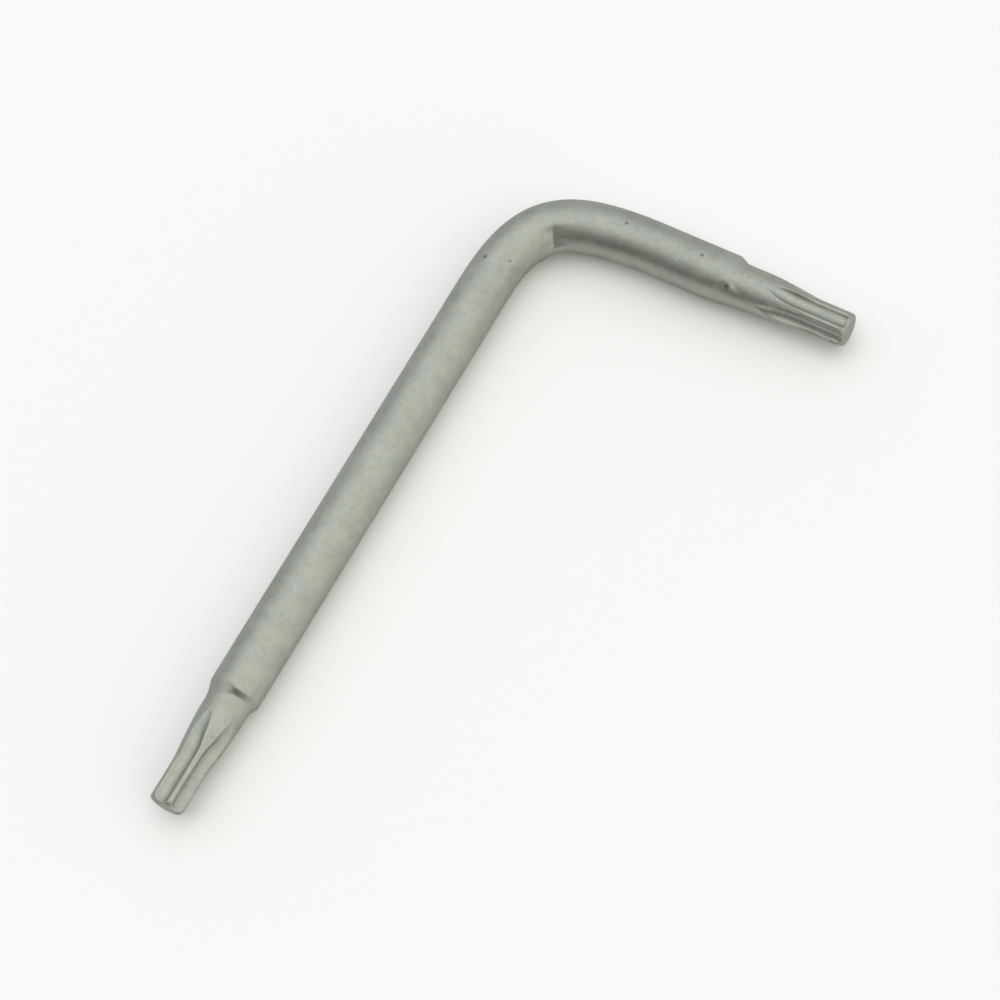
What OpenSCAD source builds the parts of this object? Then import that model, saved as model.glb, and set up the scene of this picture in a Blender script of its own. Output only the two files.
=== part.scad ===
// Star key: one round steel bar, bent once, with a six-lobe star formed on each end.
// It lies flat: the long arm runs along Y, the short arm along X, and Z is up through the bar.

/* [Bar] */
// Diameter of the round bar
bar_d = 6; // [5.6:0.1:8]

/* [Arms] */
// Length over the long arm, from the outside of the short arm to the end of the tip
long_reach = 85; // [60:1:160]
// Length over the short arm, from the outside of the long arm to the end of the tip
short_reach = 43; // [38:1:90]

/* [Bend] */
// Length of the long arm's axis that the bend takes up, from where the two axes cross
long_bend_run = 13.5; // [11:0.5:18]
// Length of the short arm's axis that the bend takes up, from where the two axes cross
short_bend_run = 15.5; // [11:0.5:18]
// How far the bend's ends pull towards that crossing, as a share of those lengths
bend_pull_share = 0.79; // [0.6:0.01:0.82]
// Place of the crease inside the bend, as a share of the way from the long arm
crease_share = 0.52; // [0.4:0.01:0.7]
// Depth of the crease, where the two sides of the fold meet
crease_depth = 0.38; // [0.05:0.01:0.5]
// Height of the metal pressed up inside the bend, round the crease
swell_height = 0.18; // [0.05:0.01:0.4]

/* [Star] */
// Diameter over the six crests
star_d = 4.3; // [4.2:0.05:4.6]
// Diameter between the floors of opposite flutes
root_d = 3.15; // [3:0.05:3.3]
// Radius of a crest
crest_r = 0.36; // [0.3:0.01:0.42]
// Diameter of the flat in the middle of a star's end
end_flat_d = 1.8; // [0.8:0.1:2.6]
// Height of the shallow crown on a star's end, from its chamfer to its flat
end_crown = 0.25; // [0.05:0.05:0.4]
// Chamfer round the end of a star
end_chamfer = 0.35; // [0.1:0.05:0.5]

/* [Neck] */
// Diameter of the round neck behind a star
neck_d = 5; // [4.8:0.1:5.4]
// Length of the conical shoulder between the neck and the bar
shoulder_len = 1; // [0.4:0.1:2]

/* [Long tip] */
// Length of the star at its full depth, from the end of the tip
long_star_len = 4; // [3:0.1:5.5]
// Length over which the star widens into the neck
long_taper_len = 4.8; // [3.5:0.1:6.5]
// Length from the end of the tip to where the flutes run out on the neck
long_flute_len = 11.4; // [10:0.1:12.5]
// Angle at which a flute's floor comes up to the neck
long_exit_angle = 4.5; // [3:0.5:9]
// Length of the whole tip, up to the full bar
long_tip_len = 14.3; // [13.6:0.1:20]
// Turn of the star about its arm, from a crest in the plane of the bend
long_star_turn = -4; // [-30:1:30]

/* [Short tip] */
// Length of the star at its full depth, from the end of the tip
short_star_len = 3.6; // [3:0.1:5.5]
// Length over which the star widens into the neck
short_taper_len = 5; // [3.5:0.1:6.5]
// Length from the end of the tip to where the flutes run out on the neck
short_flute_len = 10.5; // [9.5:0.1:12.5]
// Angle at which a flute's floor comes up to the neck
short_exit_angle = 7; // [3:0.5:9]
// Length of the whole tip, up to the full bar
short_tip_len = 14.9; // [13.6:0.1:18]
// Turn of the star about its arm, from a crest in the plane of the bend
short_star_turn = 0; // [-30:1:30]

/* [Hidden] */
$fn = 96;
steel = [0.60, 0.62, 0.59];

// Radii that follow from the diameters
bar_r = bar_d / 2;
neck_r = neck_d / 2;
star_r = star_d / 2;
root_r = root_d / 2;
end_flat_r = end_flat_d / 2;

// Reach of a cut past the solid that it meets
overrun = 1;
// Depth by which a run-out's wheel goes under the arcs on either side, so that they cross in clean edges
flute_dip = 0.03;
// Overlap of the crest and flute arcs, so that they cross in a clean edge
arc_overlap = 0.01;

// Place where the axes of the two arms cross, with the key's box centred on the origin
corner = [bar_r - short_reach / 2, long_reach / 2 - bar_r, bar_r];

// The star's section: crest arcs, flute arcs that just cut them, and a round core behind both
lobes = 6;
pitch = 360 / lobes;
crest_at = star_r - crest_r;
touch_r = crest_r - arc_overlap;
crest_lead = crest_at * cos(pitch / 2);
flute_r = (pow(touch_r, 2) - pow(crest_at, 2) - pow(root_r, 2) + 2 * crest_lead * root_r)
    / (2 * (root_r - crest_lead - touch_r));
flute_at = root_r + flute_r;
crest_place = [crest_lead, crest_at * sin(pitch / 2)];
flute_place = [flute_at, 0];
core_r = norm(crest_place + (flute_place - crest_place) * touch_r / (flute_r + touch_r));

// The bend: a curve whose ends run along the arms, swept by the bar's section
bend_path = [
    [0, -long_bend_run],
    [0, -long_bend_run * (1 - bend_pull_share)],
    [short_bend_run * (1 - bend_pull_share), 0],
    [short_bend_run, 0]
];
ring_sides = 40;
rings_a_side = 20;
ring_places = [
    for (i = [0:rings_a_side]) crease_share * i / rings_a_side,
    for (i = [1:rings_a_side]) crease_share + (1 - crease_share) * i / rings_a_side
];
// How far the crease reaches before and after its deepest line, as shares of the bend
crease_before_share = 0.17;
crease_after_share = 0.24;
// Where the crease starts, is at its full depth, grows shallower and ends, in degrees round the bar
// from the outside of the bend
crease_turns = [110, 136, 155, 172];
// Where the pressed-up metal starts, is at its full height, thins out and ends, as shares of the bend
swell_shares = [0.2, 0.45, 0.85, 1];
// How far the pressed-up metal spreads round the bar from the inside of the bend
spread_power = 0.8;

function unit(v) = v / norm(v);
function bend_point(t) = pow(1 - t, 3) * bend_path[0] + 3 * pow(1 - t, 2) * t * bend_path[1]
    + 3 * (1 - t) * pow(t, 2) * bend_path[2] + pow(t, 3) * bend_path[3];
function bend_heading(t) = unit(pow(1 - t, 2) * (bend_path[1] - bend_path[0])
    + 2 * (1 - t) * t * (bend_path[2] - bend_path[1]) + pow(t, 2) * (bend_path[3] - bend_path[2]));

function ease(value, start, end) =
    let (share = min(max((value - start) / (end - start), 0), 1))
    share * share * (3 - 2 * share);
function between(value, stops) = ease(value, stops[0], stops[1]) - ease(value, stops[2], stops[3]);

// The fold runs into a sharp crease, and fades out on either side of it
function fold(t) =
    let (reach_share = t < crease_share ? crease_before_share : crease_after_share)
    pow(max(0, 1 - abs(t - crease_share) / reach_share), 2);
function inside_share(turn) = pow(max(0, -cos(turn)), spread_power);
function section_point(t, turn) =
    let (
        heading = bend_heading(t),
        middle = bend_point(t),
        radius = bar_r - crease_depth * fold(t) * between(min(turn, 360 - turn), crease_turns),
        outward = radius * cos(turn) - swell_height * between(t, swell_shares) * inside_share(turn)
    )
    corner + [middle[0] - heading[1] * outward, middle[1] + heading[0] * outward, radius * sin(turn)];

module around(count) {
    for (i = [0:count - 1]) rotate([0, 0, i * 360 / count]) children();
}

module star_section() {
    difference() {
        union() {
            circle(r = core_r);
            around(lobes) translate([crest_at, 0]) circle(r = crest_r);
        }
        rotate([0, 0, pitch / 2]) around(lobes) translate([flute_at, 0]) circle(r = flute_r);
    }
}

// The straight star, with its end crowned and chamfered
module star(len) {
    intersection() {
        linear_extrude(len) star_section();
        rotate_extrude() polygon([
            [0, 0],
            [end_flat_r, 0],
            [star_r - end_chamfer, end_crown],
            [star_r + overrun, end_crown + end_chamfer + overrun],
            [star_r + overrun, len + overrun],
            [0, len + overrun]
        ]);
    }
}

// The cut of one flute's run-out: a round wheel takes the floor up from the star's along one arc, and
// a second arc of the same radius, which curves the other way, brings it up to the neck
module run_out(star_len, flute_len, exit_angle) {
    run = flute_len - star_len;
    slope = (neck_r - root_r) / run;
    arc_turn = atan(slope) + acos((1 + cos(exit_angle) + slope * sin(exit_angle)) / (2 * norm([1, slope])));
    arc_r = run / (2 * sin(arc_turn) - sin(exit_angle));
    translate([root_r - flute_dip + arc_r, 0, star_len])
        rotate([90, 0, 0])
            rotate_extrude() translate([arc_r - flute_r, 0]) circle(r = flute_r);
    translate([neck_r - arc_r * cos(exit_angle), 0, flute_len + arc_r * sin(exit_angle)])
        rotate([90, 0, 0])
            rotate([0, 0, -arc_turn])
                rotate_extrude(angle = arc_turn) translate([arc_r + flute_r, 0]) circle(r = flute_r);
}

// One end of the key, with the end of the star at the origin and the bar above it
module star_tip(star_len, taper_len, flute_len, exit_angle, tip_len) {
    star(star_len + taper_len);
    difference() {
        rotate_extrude() polygon([
            [0, star_len],
            [core_r, star_len],
            [neck_r, star_len + taper_len],
            [neck_r, tip_len - shoulder_len],
            [bar_r, tip_len],
            [0, tip_len]
        ]);
        rotate([0, 0, pitch / 2]) around(lobes) run_out(star_len, flute_len, exit_angle);
    }
}

module long_star_tip() {
    color(steel)
        translate([corner[0], -long_reach / 2, corner[2]])
            rotate([-90, 0, 0])
                rotate([0, 0, long_star_turn])
                    star_tip(
                        long_star_len, long_taper_len, long_flute_len, long_exit_angle, long_tip_len
                    );
}

module long_arm() {
    color(steel)
        translate([corner[0], long_tip_len - long_reach / 2, corner[2]])
            rotate([-90, 0, 0])
                cylinder(h = long_reach - bar_r - long_tip_len - long_bend_run, r = bar_r);
}

module bend() {
    last = len(ring_places) - 1;
    color(steel) polyhedron(
        points = [
            for (t = ring_places)
                for (i = [0:ring_sides - 1]) section_point(t, 360 * i / ring_sides)
        ],
        faces = [
            [for (i = [0:ring_sides - 1]) i],
            [for (i = [0:ring_sides - 1]) (last + 1) * ring_sides - 1 - i],
            for (k = [0:last - 1])
                for (i = [0:ring_sides - 1])
                    let (a = k * ring_sides + i, b = k * ring_sides + (i + 1) % ring_sides)
                    each [[a, a + ring_sides, b], [b, a + ring_sides, b + ring_sides]]
        ]
    );
}

module short_arm() {
    color(steel)
        translate([corner[0] + short_bend_run, corner[1], corner[2]])
            rotate([0, 90, 0])
                cylinder(h = short_reach - bar_r - short_tip_len - short_bend_run, r = bar_r);
}

module short_star_tip() {
    color(steel)
        translate([short_reach / 2, corner[1], corner[2]])
            rotate([0, -90, 0])
                rotate([0, 0, 90 + short_star_turn])
                    star_tip(
                        short_star_len, short_taper_len, short_flute_len, short_exit_angle, short_tip_len
                    );
}

long_star_tip();
long_arm();
bend();
short_arm();
short_star_tip();
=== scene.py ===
"""The star key's looks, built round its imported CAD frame. Sizes are in millimetres until a mesh is made."""
import math

import bpy
import numpy as np
from mathutils import Matrix, Vector


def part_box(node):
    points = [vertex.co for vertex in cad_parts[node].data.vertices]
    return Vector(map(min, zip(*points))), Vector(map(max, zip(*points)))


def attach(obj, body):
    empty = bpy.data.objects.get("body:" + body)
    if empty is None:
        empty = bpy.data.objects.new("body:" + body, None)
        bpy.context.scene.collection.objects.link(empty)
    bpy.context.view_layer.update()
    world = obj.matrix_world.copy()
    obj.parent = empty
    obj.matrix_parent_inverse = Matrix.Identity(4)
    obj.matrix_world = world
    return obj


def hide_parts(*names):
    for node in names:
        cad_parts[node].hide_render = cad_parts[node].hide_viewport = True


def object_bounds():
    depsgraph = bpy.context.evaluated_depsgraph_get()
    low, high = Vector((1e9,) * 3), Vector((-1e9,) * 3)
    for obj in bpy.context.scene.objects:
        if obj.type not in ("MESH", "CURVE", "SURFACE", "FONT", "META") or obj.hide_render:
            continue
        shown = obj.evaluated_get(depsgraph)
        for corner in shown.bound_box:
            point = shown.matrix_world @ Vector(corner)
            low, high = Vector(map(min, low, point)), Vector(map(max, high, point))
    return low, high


MM = 0.001
BODY = "root"

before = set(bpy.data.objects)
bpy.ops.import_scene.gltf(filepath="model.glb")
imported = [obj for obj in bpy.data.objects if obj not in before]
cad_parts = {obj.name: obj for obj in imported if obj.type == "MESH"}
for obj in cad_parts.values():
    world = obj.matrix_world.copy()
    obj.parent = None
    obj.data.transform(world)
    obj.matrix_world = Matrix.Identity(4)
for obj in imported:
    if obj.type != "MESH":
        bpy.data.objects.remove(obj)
cad_low, cad_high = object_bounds()
scene = bpy.context.scene


def corners(node):
    """The lowest and the highest corner of a node's box."""
    low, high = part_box(node)
    return np.array(low) / MM, np.array(high) / MM


# Places and lengths that come from the frame
tip_low, tip_high = corners("long_star_tip")
arm_low, arm_high = corners("long_arm")
stub_low, stub_high = corners("short_arm")
end_low, end_high = corners("short_star_tip")

bar_r = (cad_high.z - cad_low.z) / 2 / MM
long_axis_x = (arm_low[0] + arm_high[0]) / 2
short_axis_y = (stub_low[1] + stub_high[1]) / 2
axis_z = cad_low.z / MM + bar_r
long_end_y = tip_low[1]
long_tip_len = tip_high[1] - tip_low[1]
long_arm_len = arm_high[1] - arm_low[1]
short_end_x = end_high[0]
short_tip_len = end_high[0] - end_low[0]
short_arm_len = stub_high[0] - stub_low[0]
long_bend_run = short_axis_y - arm_high[1]
short_bend_run = stub_low[0] - long_axis_x

# The star's section, as on the solids: six crest arcs, and flute arcs that just cut them
lobes = 6
pitch = 2 * math.pi / lobes
star_r = 2.15
root_r = 1.575
crest_r = 0.36
arc_overlap = 0.01

crest_at = star_r - crest_r
touch_r = crest_r - arc_overlap
crest_lead = crest_at * math.cos(pitch / 2)
flute_r = (touch_r**2 - crest_at**2 - root_r**2 + 2 * crest_lead * root_r) / (
    2 * (root_r - crest_lead - touch_r)
)
flute_at = root_r + flute_r
touch_share = touch_r / (flute_r + touch_r)
core_r = math.hypot(
    crest_lead + (flute_at - crest_lead) * touch_share,
    crest_at * math.sin(pitch / 2) * (1 - touch_share),
)

# The star's end: crowned, with its crests rounded off and a small burr left across the flutes
end_crown = 0.4
end_round = 0.5
burr_height = 0.12
burr_len = 0.5

# The round neck behind the star, and the shoulder between the neck and the bar
neck_r = 2.5
shoulder_len = 1.0

# How far tumbling has worn each kind of edge
flute_wear = 0.05
crest_wear = 0.05
taper_wear = 0.3
neck_wear = 0.12
shoulder_wear = 0.07
end_wear = 0.1

# The two tips, with places along the arm from the tip's end, and angles round the arm from the plane of
# the bend
LONG = {
    "star": 4.0,  # length of the straight star
    "taper": 4.8,  # length over which the blank widens from the star to the neck
    "rise": 4.8,  # where the flutes' floors start to rise
    "flute": 11.5,  # where they run out on the neck
    "exit": math.radians(9),  # angle of the floors to the arm there
    "tip": long_tip_len,  # where the shoulder reaches the full bar
    "turn": math.radians(-4),  # turn of the star about the arm
    "lean": math.radians(5),  # how far the run-outs lean away from the top and bottom crests
    "soft": 0.9,  # how much longer the shoulder is on its soft side
    "soft_side": math.radians(238),  # middle of that side
    "soft_edge": 0.6,  # cosine of the angle from there at which the soft side ends
    "drawn": 0.5,  # how far the shoulder is drawn back on its crisp side
    "drawn_side": math.radians(315),  # middle of that side
    "crisp": 0.35,  # how much shorter the shoulder is there
    "seam": long_tip_len + 1.2,  # where the tip's piece ends, on the plain bar
}
SHORT = {
    "star": 3.6,
    "taper": 5.0,
    "rise": 5.6,
    "flute": 10.6,
    "exit": math.radians(8),
    "tip": short_tip_len,
    "turn": 0.0,
    "lean": 0.0,
    "soft": 3.9,
    "soft_side": math.radians(165),
    "soft_edge": 0.2,
    "drawn": 0.0,
    "drawn_side": 0.0,
    "crisp": 0.0,
    "seam": short_tip_len + 2.4,
}
# Where the run-outs start to lean, and where they lean in full
lean_from = 7.0
lean_to = 9.0
# Cosines of the angles at which a crisp side ends, and up to which a soft or crisp side is in full
crisp_edge = 0.2
side_full = 0.9

# The bend: a curve between the arms. Shares are of the way along it from the long arm, and angles are
# round the bar from the outside of the bend
bend_pull_share = 0.79
# The crease inside it: its place, its lean for each radian round the bar, and its reach to either side
crease_share = 0.5125
crease_lean_share = 0.04
crease_before_share = 0.17
crease_after_share = 0.24
# Depth of the crease, and where it starts, is at that depth, grows shallower and ends
crease_depth = 0.38
crease_from = math.radians(110)
crease_full = math.radians(136)
crease_thin = math.radians(155)
crease_to = math.radians(172)
# Height of the metal pressed up round the crease, and where it starts, is at that height and thins out
swell_height = 0.18
swell_from_share = 0.2
swell_full_share = 0.45
swell_thin_share = 0.85
# Depth of the hollow before the crease, and where it ends
hollow_depth = 0.08
hollow_to_share = 0.36
# How the pressed-up metal and the hollow spread round the bar from the inside of the bend
spread_power = 0.8

# Pits in the bend and the short arm: the place along the bend from the long arm, or along the short arm
# from its end, the place round the bar, half length, half width, lean and depth. Angles are in degrees
BEND_PITS = [
    {"along": 3.05, "turn": 72, "length": 0.3, "width": 0.16, "lean": 25, "depth": 0.09},
    {"along": 4.2, "turn": 127, "length": 0.16, "width": 0.16, "lean": 0, "depth": 0.09},
    {"along": 20.9, "turn": 84, "length": 0.12, "width": 0.24, "lean": 0, "depth": 0.06},
]
SHORT_PITS = [
    {"along": 18.45, "turn": 274, "length": 0.24, "width": 0.13, "lean": 45, "depth": 0.08},
]
# How far the grime and painted shade in a pit reach, for each millimetre of the pit's half length or width
grime_and_shade_spread = 1.4

# Painted shade on the short tip's shoulder: a dark patch where the shoulder lies in shade
shoulder_shade_along = 14.45
shoulder_shade_turn = math.radians(231)
shoulder_shade_reach = 0.5

# How fine the meshes are: points in a ring, steps between rings, and rings in a stretch
tip_sides = 360
bar_sides = 192
tip_step = 0.08
edge_step = 0.04
bar_step = 0.12
face_rings = 23
rim_rings = 7
burr_rings = 13
# Rings from the crease to either end of the bend, and how strongly they crowd towards the crease
bend_rings = 110
bend_crowd_power = 1.6

# A radius outside the key, for places that a flute doesn't cut
beyond = 9.0


def smooth_min(a, b, reach):
    near = np.clip(reach - np.abs(a - b), 0, None) / reach
    return np.minimum(a, b) - near * near * reach / 4


def smooth_max(a, b, reach):
    return -smooth_min(-a, -b, reach)


def ease(value, start, end):
    share = np.clip((value - start) / (end - start), 0, 1)
    return share * share * (3 - 2 * share)


def around(sides):
    """Angles of the points in a ring."""
    return np.arange(sides) * 2 * math.pi / sides


def steps(start, end, step):
    return np.linspace(start, end, max(2, round((end - start) / step) + 1))


def flute_wall(away, middle):
    """Radius of a flute's wall at an angle away from the flute's middle."""
    room = flute_r**2 - (middle * np.sin(away)) ** 2
    wall = middle * np.cos(away) - np.sqrt(np.maximum(room, 0))
    return np.where(room > 0, wall, beyond)


def flute_floor(z, tip):
    """Radius of a flute's floor: up from the star's along one arc, then over a second one to the neck."""
    run = tip["flute"] - tip["rise"]
    slope = (neck_r - root_r) / run
    leave = tip["exit"]
    cosine = (1 + math.cos(leave) + slope * math.sin(leave)) / (2 * math.hypot(1, slope))
    arc_turn = math.atan(slope) + math.acos(cosine)
    arc_r = run / (2 * math.sin(arc_turn) - math.sin(leave))
    change = tip["rise"] + arc_r * math.sin(arc_turn)
    top = tip["flute"] + arc_r * math.sin(leave)
    rising = root_r + arc_r - np.sqrt(arc_r**2 - np.clip(z - tip["rise"], 0, arc_r) ** 2)
    easing = neck_r - arc_r * math.cos(leave) + np.sqrt(arc_r**2 - np.clip(top - z, 0, arc_r) ** 2)
    # The cut ends a little past the run-out, so that it leaves the shoulder whole
    clear = tip["flute"] + shoulder_len
    return np.where(z < change, rising, np.where(z < clear, easing, beyond))


def blank_radius(z, angle, tip):
    """Radius of the turned blank, at a distance z from the end of the tip and an angle round it."""
    cone = core_r + (neck_r - core_r) * (z - tip["star"]) / tip["taper"]
    soft = ease(np.cos(angle - tip["soft_side"]), tip["soft_edge"], side_full)
    drawn = ease(np.cos(angle - tip["drawn_side"]), crisp_edge, side_full)
    length = shoulder_len + tip["soft"] * soft - tip["crisp"] * drawn
    halfway = tip["tip"] - shoulder_len / 2 + tip["drawn"] * drawn
    shoulder = (neck_r + bar_r) / 2 + (z - halfway) * (bar_r - neck_r) / length
    turned = smooth_min(cone, neck_r, taper_wear)
    turned = smooth_max(turned, shoulder, neck_wear)
    return smooth_min(turned, bar_r, shoulder_wear)


def star_radius(star_angle):
    """Radius of the straight star, at an angle from a crest."""
    off = (star_angle + pitch / 2) % pitch - pitch / 2
    room = crest_r**2 - (crest_at * np.sin(off)) ** 2
    crest = np.where(room > 0, crest_at * np.cos(off) + np.sqrt(np.maximum(room, 0)), 0)
    away = pitch / 2 - np.abs(off)
    return smooth_min(flute_wall(away, flute_at), np.maximum(crest, core_r), crest_wear)


def flute_away(z, star_angle, tip):
    """Angle from the nearest flute's middle, with the run-outs off the top and bottom crests leaning away."""
    off_side = np.abs((star_angle + pitch) % math.pi - math.pi / 2)
    lean = tip["lean"] * ease(z, lean_from, lean_to)
    return np.minimum(off_side, np.abs(off_side - pitch + lean))


def tip_radius(z, angle, tip):
    """Radius of a tip, at a distance z from its end and an angle round it."""
    star_angle = angle - tip["turn"]
    run_out = flute_wall(flute_away(z, star_angle, tip), flute_floor(z, tip) + flute_r)
    worn = smooth_min(blank_radius(z, angle, tip), run_out, flute_wear)
    return smooth_max(star_radius(star_angle), worn, crest_wear)


def end_height(radius):
    """How far the crowned end lies behind its middle, at a radius."""
    past = np.clip(radius - star_r + end_round, 0, end_round)
    return end_crown * (radius / star_r) ** 2 + end_round - np.sqrt(end_round**2 - past**2)


def pit_depth(along, turn, pits):
    """Depth of a bar's pits, at distances along it and angles round it."""
    depth = 0 * along * turn
    for pit in pits:
        ahead = along - pit["along"]
        aside = bar_r * (turn - math.radians(pit["turn"]))
        lean = math.radians(pit["lean"])
        down = (ahead * math.cos(lean) + aside * math.sin(lean)) / pit["length"]
        over = (aside * math.cos(lean) - ahead * math.sin(lean)) / pit["width"]
        depth = depth + pit["depth"] * np.exp(-(down**2) - over**2)
    return depth


def pit_places(rows, along, turn, pits):
    """The point at the bottom of each pit, with how far its grime and painted shade reach."""
    places = []
    for pit in pits:
        off = np.hypot(along - pit["along"], bar_r * (turn - math.radians(pit["turn"])))
        place = rows[np.unravel_index(np.argmin(off), off.shape)]
        places.append((place, grime_and_shade_spread * max(pit["length"], pit["width"])))
    return places


def on_long(x, y, z):
    """Points on the long arm: x and y across it, z along it from its end."""
    return np.stack([long_axis_x + x, long_end_y + z, axis_z - y], -1)


def on_short(x, y, z):
    """Points on the short arm: x and y across it, z along it from its end."""
    return np.stack([short_end_x - z, short_axis_y + x, axis_z - y], -1)


def tip_rows(tip, place):
    """Rings from the middle of the crowned end, over its worn edge, to the seam on the bar."""
    angle = around(tip_sides)
    straight = star_radius(angle - tip["turn"])
    burr = burr_height * (star_r - straight) / (star_r - root_r)
    edge = straight + burr
    inner = edge - end_wear
    face = end_height(inner)
    rim = end_height(edge)
    wall = rim + end_wear
    rows = []
    for turn in np.linspace(0, math.pi / 2, face_rings + 1)[1:]:
        radius = inner * math.sin(turn)
        rows.append((radius, end_height(radius)))
    for share in np.linspace(0, 1, rim_rings + 1)[1:]:
        left = 1 - share
        z = left**2 * face + 2 * left * share * rim + share**2 * wall
        rows.append((edge - end_wear * left**2, z))
    clear = end_crown + end_round + end_wear + edge_step
    for share in np.linspace(0, 1, burr_rings + 1)[1:]:
        z = wall + (clear - wall) * share
        rows.append((tip_radius(z, angle, tip) + burr * (1 - ease(z, wall, wall + burr_len)), z))
    shoulder_foot = tip["tip"] - shoulder_len - neck_wear
    settled = tip["tip"] + tip["drawn"] + 2 * shoulder_wear
    neck = steps(clear, shoulder_foot, tip_step)[1:-1]
    shoulder = steps(shoulder_foot, settled, edge_step)
    bar = steps(settled, tip["seam"], tip_step)[1:]
    for z in [*neck, *shoulder, *bar]:
        rows.append((tip_radius(z, angle, tip), z + 0 * angle))
    radius = np.array([r for r, z in rows])
    along = np.array([z for r, z in rows])
    return place(radius * np.cos(angle), radius * np.sin(angle), along)


def arm_rows(tip, length, pits, place):
    """Rings from a tip's seam to the bend, and the places of the pits."""
    angle = around(bar_sides)
    along = steps(tip["seam"], tip["tip"] + length, bar_step)[:, None]
    radius = blank_radius(along, angle, tip) - pit_depth(along, angle, pits)
    rows = place(radius * np.cos(angle), radius * np.sin(angle), along + 0 * angle)
    return rows, pit_places(rows, along, angle, pits)


def bend_rows():
    """Rings from the long arm to the short one that crowd towards the crease, and the places of the pits."""
    pull = 1 - bend_pull_share
    path = np.array(
        [
            [0, -long_bend_run],
            [0, -long_bend_run * pull],
            [short_bend_run * pull, 0],
            [short_bend_run, 0],
        ]
    )
    turn = around(bar_sides)
    aside = np.minimum(turn, 2 * math.pi - turn)
    lean = (crease_full + crease_from) / 2 - np.maximum(aside, crease_from)
    crease = crease_share + crease_lean_share * lean
    crowd = np.linspace(0, 1, bend_rings)[:, None] ** bend_crowd_power
    t = np.concatenate([crease * (1 - crowd[::-1]), crease + (1 - crease) * crowd[1:]])
    rest = 1 - t
    weights = np.stack([rest**3, 3 * rest**2 * t, 3 * rest * t**2, t**3], -1)
    middle = weights @ path
    heading = np.stack([rest**2, 2 * rest * t, t**2], -1) @ np.diff(path, axis=0)
    heading /= np.linalg.norm(heading, axis=-1)[..., None]
    along = np.linalg.norm(np.diff(middle, axis=0), axis=-1).cumsum(0)
    along = np.concatenate([0 * along[:1], along])

    swell = swell_height * (ease(t, swell_from_share, swell_full_share) - ease(t, swell_thin_share, 1))
    hollow = hollow_depth * np.sin(math.pi * np.clip(t / hollow_to_share, 0, 1)) ** 2
    inside = np.maximum(0, -np.cos(turn)) ** spread_power
    span = ease(aside, crease_from, crease_full) - ease(aside, crease_thin, crease_to)
    reach = np.where(t < crease, crease_before_share, crease_after_share)
    fold = np.clip(1 - np.abs(t - crease) / reach, 0, 1) ** 2
    radius = bar_r - crease_depth * fold * span - pit_depth(along, turn, BEND_PITS)
    out = radius * np.cos(turn) - (swell - hollow) * inside
    rows = np.stack(
        [
            long_axis_x + middle[..., 0] - heading[..., 1] * out,
            short_axis_y + middle[..., 1] + heading[..., 0] * out,
            axis_z + radius * np.sin(turn),
        ],
        -1,
    )
    return rows, pit_places(rows, along, turn, BEND_PITS)


def closed_mesh(name, rows, tip):
    """A closed mesh from rings of points, with a flat cap on the last ring.

    The first ring closes on the point that is given as its tip, or with a flat cap if that is None.
    """
    count, sides = rows.shape[:2]
    top = (count - 1) * sides
    first = count * sides
    last = first + 1
    ring = np.arange(sides)
    after = (ring + 1) % sides
    faces = []
    for a in range(0, top, sides):
        b = a + sides
        faces += np.stack([a + ring, a + after, b + after, b + ring], 1).tolist()
    faces += np.stack([0 * ring + first, after, ring], 1).tolist()
    faces += np.stack([0 * ring + last, top + ring, top + after], 1).tolist()
    flat = tip is None
    points = np.vstack([rows.reshape(-1, 3), rows[0].mean(0) if flat else tip, rows[-1].mean(0)])
    mesh = bpy.data.meshes.new(name)
    mesh.from_pydata((points * MM).tolist(), [], faces)
    mesh.polygons.foreach_set("use_smooth", [True] * len(mesh.polygons))
    ends = np.empty(len(mesh.edges) * 2, np.int32)
    mesh.edges.foreach_get("vertices", ends)
    ends = ends.reshape(-1, 2)
    sharp = ((ends >= top) & (ends < first)).all(1)
    if flat:
        sharp |= (ends < sides).all(1)
    mesh.edges.foreach_set("use_edge_sharp", sharp)
    mesh.update()
    return mesh


def make_piece(name, rows, tip, node):
    """A steel piece from rings of points, in place of a node."""
    mesh = closed_mesh(name, rows, tip)
    mesh.materials.append(steel)
    piece = bpy.data.objects.new(name, mesh)
    scene.collection.objects.link(piece)
    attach(piece, BODY)
    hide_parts(node)


def add_node(tree, kind, inputs, **settings):
    """A shader node. Each of its inputs is linked to another node's output, or set to a constant."""
    made = tree.nodes.new(kind)
    for name, value in settings.items():
        setattr(made, name, value)
    for name, value in inputs.items():
        if isinstance(value, bpy.types.NodeSocket):
            tree.links.new(value, made.inputs[name])
        else:
            made.inputs[name].default_value = value
    return made


def ramp(tree, source, low, high, at_low, at_high, interpolation="SMOOTHSTEP"):
    """A value that goes from at_low to at_high while the source goes from low to high."""
    inputs = {"Value": source, "From Min": low, "From Max": high, "To Min": at_low, "To Max": at_high}
    return add_node(tree, "ShaderNodeMapRange", inputs, interpolation_type=interpolation).outputs["Result"]


def colour_ramp(tree, source, low, high, at_low, at_high):
    """A colour that goes from at_low to at_high while the source goes from low to high."""
    made = add_node(tree, "ShaderNodeValToRGB", {"Fac": source})
    first, last = made.color_ramp.elements
    first.position = low
    first.color = at_low
    last.position = high
    last.color = at_high
    return made.outputs["Color"]


def mix(tree, share, a, b, **settings):
    made = add_node(tree, "ShaderNodeMix", {"Factor": share, "A": a, "B": b}, **settings)
    return made.outputs["Result"]


def calculate(tree, operation, a, b):
    return add_node(tree, "ShaderNodeMath", {0: a, 1: b}, operation=operation).outputs["Value"]


def noise(tree, place, scale, detail, roughness):
    inputs = {"Vector": place, "Scale": scale, "Detail": detail, "Roughness": roughness}
    return add_node(tree, "ShaderNodeTexNoise", inputs).outputs["Fac"]


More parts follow.
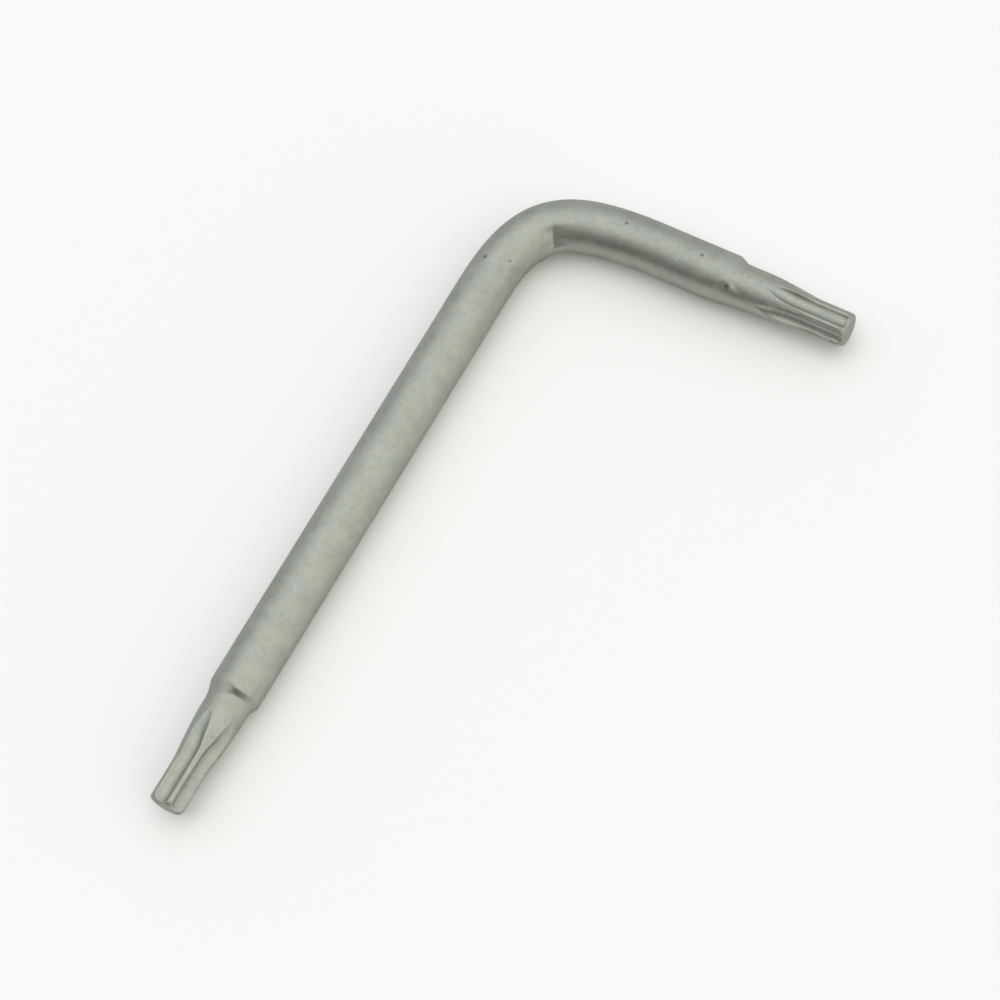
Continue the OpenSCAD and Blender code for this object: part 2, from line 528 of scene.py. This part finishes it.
# The finish: tumbled bare steel, with its pattern running on through every piece. Colours are linear, and
# scales are for places in millimetres
dark_steel = (0.298, 0.310, 0.284, 1)
light_steel = (0.468, 0.488, 0.445, 1)
cool_hue = (0.96, 1.0, 1.025, 1)
warm_hue = (1.04, 1.0, 0.935, 1)
rim_tint = (0.6, 0.6, 0.6, 1)
blotch_scale = 0.42
grain_scale = 3.6
hue_scale = 0.7
grain_share = 0.25
# The range of the noises in which the tone and roughness change, and the hue
tone_from = 0.3
tone_to = 0.7
hue_from = 0.35
hue_to = 0.65
least_roughness = 0.44
most_roughness = 0.51
bump_strength = 0.4
bump_height = 0.05
# Bright specks: how strong they are in the middle, and where they start and end fading, in their own scale
speck_colour = (0.62, 0.63, 0.60, 1)
speck_share = 0.35
speck_scale = 0.5
speck_fade_from = 0.02
speck_fade_to = 0.1
# Grime and painted shade in the pits, and painted shade on the short tip's shoulder: how strong they are in
# the middle
grime_and_shade_colour = (0.06, 0.06, 0.05, 1)
grime_and_shade_share = 0.75


def steel_colour(tree, place, blotch, grain, grimy_and_shaded):
    """Mottled grey that turns cooler and warmer, with bright specks, and grime and painted shade at the given
    points.
    """
    patch = noise(tree, place, hue_scale, detail=3.0, roughness=0.6)
    pattern = mix(tree, grain_share, blotch, grain, data_type="FLOAT")
    tone = colour_ramp(tree, pattern, tone_from, tone_to, dark_steel, light_steel)
    hue = colour_ramp(tree, patch, hue_from, hue_to, cool_hue, warm_hue)
    colour = mix(tree, 1.0, tone, hue, data_type="RGBA", blend_type="MULTIPLY")
    speck = add_node(tree, "ShaderNodeTexVoronoi", {"Vector": place, "Scale": speck_scale})
    away = speck.outputs["Distance"]
    bright = ramp(tree, away, speck_fade_from, speck_fade_to, speck_share, 0.0, "LINEAR")
    colour = mix(tree, bright, colour, speck_colour, data_type="RGBA")
    # Painted shade: each given point darkens the steel round it, with grime as well in the pits
    for spot, reach in grimy_and_shaded:
        gap = add_node(tree, "ShaderNodeVectorMath", {0: place, 1: spot}, operation="DISTANCE")
        grime_and_shade = ramp(tree, gap.outputs["Value"], 0.0, reach, grime_and_shade_share, 0.0)
        colour = mix(tree, grime_and_shade, colour, grime_and_shade_colour, data_type="RGBA")
    return colour


def make_steel(grimy_and_shaded):
    """The steel, with grime and painted shade at the given points, each of which comes with its reach."""
    made = bpy.data.materials.new("tumbled_steel")
    made.use_nodes = True
    tree = made.node_tree
    where = add_node(tree, "ShaderNodeTexCoord", {}).outputs["Object"]
    scaled = add_node(tree, "ShaderNodeMapping", {"Vector": where, "Scale": (1 / MM, 1 / MM, 1 / MM)})
    place = scaled.outputs["Vector"]
    blotch = noise(tree, place, blotch_scale, detail=6.0, roughness=0.85)
    grain = noise(tree, place, grain_scale, detail=4.0, roughness=0.65)
    bump = add_node(
        tree, "ShaderNodeBump", {"Height": grain, "Strength": bump_strength, "Distance": bump_height * MM}
    )
    roughness = ramp(tree, blotch, tone_from, tone_to, least_roughness, most_roughness, "LINEAR")
    shader = tree.nodes["Principled BSDF"]
    shader.inputs["Metallic"].default_value = 1.0
    shader.inputs["Specular Tint"].default_value = rim_tint
    tree.links.new(steel_colour(tree, place, blotch, grain, grimy_and_shaded), shader.inputs["Base Color"])
    tree.links.new(roughness, shader.inputs["Roughness"])
    tree.links.new(bump.outputs["Normal"], shader.inputs["Normal"])
    return made


# The key
long_tip = tip_rows(LONG, on_long)
long_shank, _ = arm_rows(LONG, long_arm_len, [], on_long)
# The pits are darkened with grime and painted shade
bent_corner, bend_grime_and_shade = bend_rows()
short_shank, short_grime_and_shade = arm_rows(SHORT, short_arm_len, SHORT_PITS, on_short)
short_tip = tip_rows(SHORT, on_short)
# The middle of the painted shade on the short tip's shoulder
shoulder_shade_r = float(blank_radius(shoulder_shade_along, shoulder_shade_turn, SHORT))
shoulder_shade_spot = on_short(shoulder_shade_r * math.cos(shoulder_shade_turn), shoulder_shade_r * math.sin(shoulder_shade_turn), shoulder_shade_along)
steel = make_steel([*bend_grime_and_shade, *short_grime_and_shade, (shoulder_shade_spot, shoulder_shade_reach)])

make_piece("long_tip", long_tip, on_long(0.0, 0.0, 0.0), "long_star_tip")
make_piece("long_shank", long_shank, None, "long_arm")
make_piece("bent_corner", bent_corner, None, "bend")
make_piece("short_shank", short_shank, None, "short_arm")
make_piece("short_tip", short_tip, on_short(0.0, 0.0, 0.0), "short_star_tip")

# The floor: dull white paper
floor_half = 4000.0
paper_white = (0.96, 0.96, 0.96, 1)
paper_roughness = 0.9

paper = bpy.data.materials.new("white_paper")
paper.use_nodes = True
paper_shader = paper.node_tree.nodes["Principled BSDF"]
paper_shader.inputs["Base Color"].default_value = paper_white
paper_shader.inputs["Roughness"].default_value = paper_roughness
paper_shader.inputs["Specular IOR Level"].default_value = 0.0
side = floor_half * MM
floor_mesh = bpy.data.meshes.new("floor")
floor_mesh.from_pydata(
    [(x * side, y * side, cad_low.z) for x, y in ((-1, -1), (1, -1), (1, 1), (-1, 1))],
    [],
    [(0, 1, 2, 3)],
)
floor_mesh.materials.append(paper)
floor = bpy.data.objects.new("floor", floor_mesh)
scene.collection.objects.link(floor)


def make_studio():
    """Soft light from all round: brightest overhead and to the right, darkest low in front."""
    made = bpy.data.worlds.new("studio")
    made.use_nodes = True
    tree = made.node_tree
    way = add_node(tree, "ShaderNodeTexCoord", {}).outputs["Generated"]
    x, y, z = add_node(tree, "ShaderNodeSeparateXYZ", {"Vector": way}).outputs
    overhead = ramp(tree, z, low=0.03, high=1.1, at_low=0.58, at_high=1.3)
    zenith = ramp(tree, z, low=0.77, high=1.0, at_low=0.0, at_high=0.22)
    right = ramp(tree, x, low=0.4, high=1.015, at_low=0.0, at_high=0.565)
    front = ramp(tree, y, low=-1.15, high=-0.09, at_low=0.0, at_high=1.0)
    above = calculate(tree, "ADD", overhead, zenith)
    level = calculate(tree, "MULTIPLY", calculate(tree, "ADD", above, right), front)
    warmth = ramp(tree, calculate(tree, "SUBTRACT", x, y), low=-0.7, high=0.5, at_low=0.0, at_high=1.0)
    cool_light = (0.97, 1.0, 1.02, 1)
    warm_light = (1.02, 1.0, 0.94, 1)
    tint = mix(tree, warmth, cool_light, warm_light, data_type="RGBA")
    tree.links.new(level, tree.nodes["Background"].inputs["Strength"])
    tree.links.new(tint, tree.nodes["Background"].inputs["Color"])
    return made


scene.world = make_studio()

# The camera, where the photograph was taken from: the point it looks at, how far off and how far round and
# above that point it is, and its roll
camera_aim = Vector((-3.74, 4.61, axis_z))
camera_distance = 267.57
camera_round = math.radians(-40.79)
camera_above = math.radians(65.5)
camera_roll = math.radians(-21.09)

camera_data = bpy.data.cameras.new("camera")
camera_data.sensor_width = 36.0
camera_data.lens = 87.563
camera_data.clip_start = 0.01
camera_data.clip_end = 20.0
camera = bpy.data.objects.new("camera", camera_data)
scene.collection.objects.link(camera)
quarter = math.pi / 2
turned = Matrix.Rotation(quarter + camera_round, 3, "Z")
turned = turned @ Matrix.Rotation(quarter - camera_above, 3, "X") @ Matrix.Rotation(camera_roll, 3, "Z")
eye = camera_aim + turned @ Vector((0, 0, camera_distance))
camera.matrix_world = Matrix.Translation(eye * MM) @ turned.to_4x4()
scene.camera = camera
scene.view_settings.view_transform = "Standard"
